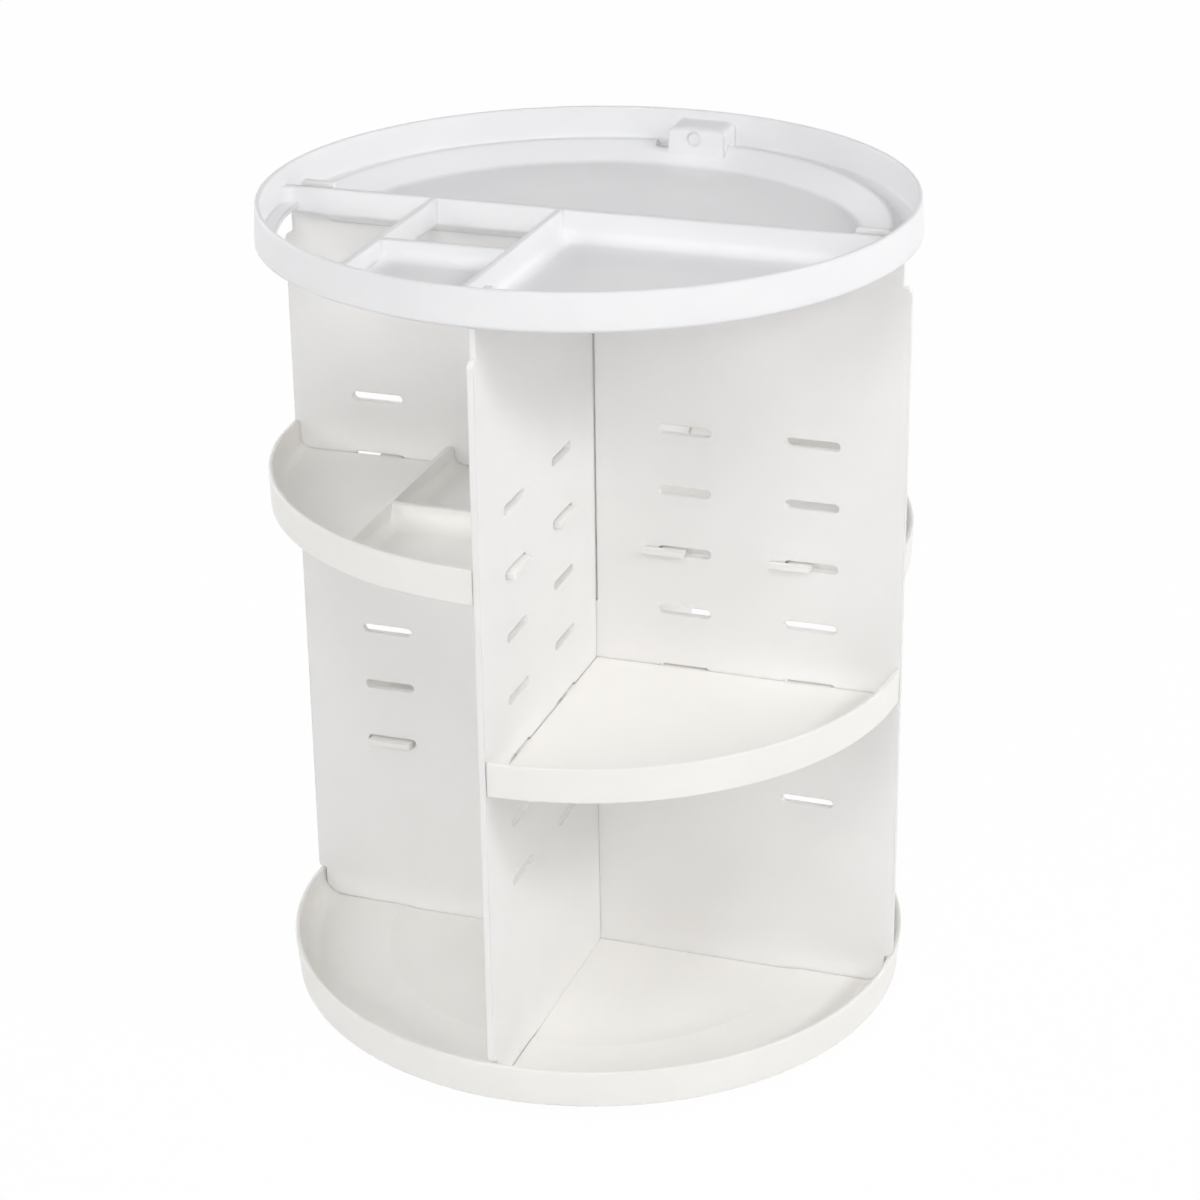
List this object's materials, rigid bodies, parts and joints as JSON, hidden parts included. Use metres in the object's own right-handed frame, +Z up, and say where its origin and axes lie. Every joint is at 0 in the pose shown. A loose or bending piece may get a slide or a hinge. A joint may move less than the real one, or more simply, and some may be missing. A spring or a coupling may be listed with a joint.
{
  "type": "rotating makeup organizer",
  "caption": "Round turntable organizer with two crossing slotted panels, hook-in quarter shelves with raised rims, and a divided lift-off top tray.",
  "frame": {"origin": "centre of the footprint, on the surface that the feet stand on", "axes": "+Z up along the turning axis, +X along panel A to the right, -Y towards the front left and front right shelves"},
  "size_m": [0.2366, 0.2366, 0.3114],
  "materials": {
    "white_plastic": "satin injection-moulded polypropylene, lightly polished",
    "rubber": "moulded thermoplastic rubber, matt",
    "cage_plastic": "natural acetal, matt",
    "bearing_steel": "polished steel balls",
    "plated_steel": "zinc-plated steel"
  },
  "bodies": {
    "foot": {"foot_disc": "white_plastic", "rubber_foot_front_left": "rubber", "rubber_foot_front_right": "rubber", "rubber_foot_back_right": "rubber", "rubber_foot_back_left": "rubber"},
    "carousel": {"base_tray": "white_plastic", "cross_panel_a": "white_plastic", "cross_panel_b": "white_plastic", "pivot_washer": "plated_steel", "pivot_screw": "plated_steel"},
    "ball_ring": {"ball_cage": "cage_plastic", "bearing_balls": "bearing_steel"},
    "back_right_shelf": {"shelf_back_right": "white_plastic"},
    "back_left_shelf": {"shelf_back_left": "white_plastic"},
    "front_left_shelf": {"shelf_front_left": "white_plastic"},
    "front_right_shelf": {"shelf_front_right": "white_plastic"},
    "lift_off_tray": {"top_tray": "white_plastic"}
  },
  "joints": [
    {"name": "carousel_turn", "type": "hinge", "parent": "foot", "child": "carousel", "pos_m": [0, 0, 0.006], "axis": [0, 0, 1], "continuous": true},
    {"name": "ball_ring_turn", "type": "hinge", "parent": "foot", "child": "ball_ring", "pos_m": [0, 0, 0.006], "axis": [0, 0, 1], "continuous": true},
    {"name": "back_right_shelf_slide", "type": "slide", "parent": "carousel", "child": "back_right_shelf", "axis": [1, 0, 0], "range_m": [0, 0.0086]},
    {"name": "back_left_shelf_slide", "type": "slide", "parent": "carousel", "child": "back_left_shelf", "axis": [0, 1, 0], "range_m": [0, 0.0086]},
    {"name": "front_left_shelf_slide", "type": "slide", "parent": "carousel", "child": "front_left_shelf", "axis": [-1, 0, 0], "range_m": [0, 0.0086]},
    {"name": "front_right_shelf_slide", "type": "slide", "parent": "carousel", "child": "front_right_shelf", "axis": [0, -1, 0], "range_m": [0, 0.0086]},
    {"name": "top_tray_lift", "type": "slide", "parent": "carousel", "child": "lift_off_tray", "axis": [0, 0, 1], "range_m": [0, 0.03]}
  ],
  "couplings": [
    {"joint": "ball_ring_turn", "follows": "carousel_turn", "ratio": 0.5}
  ]
}
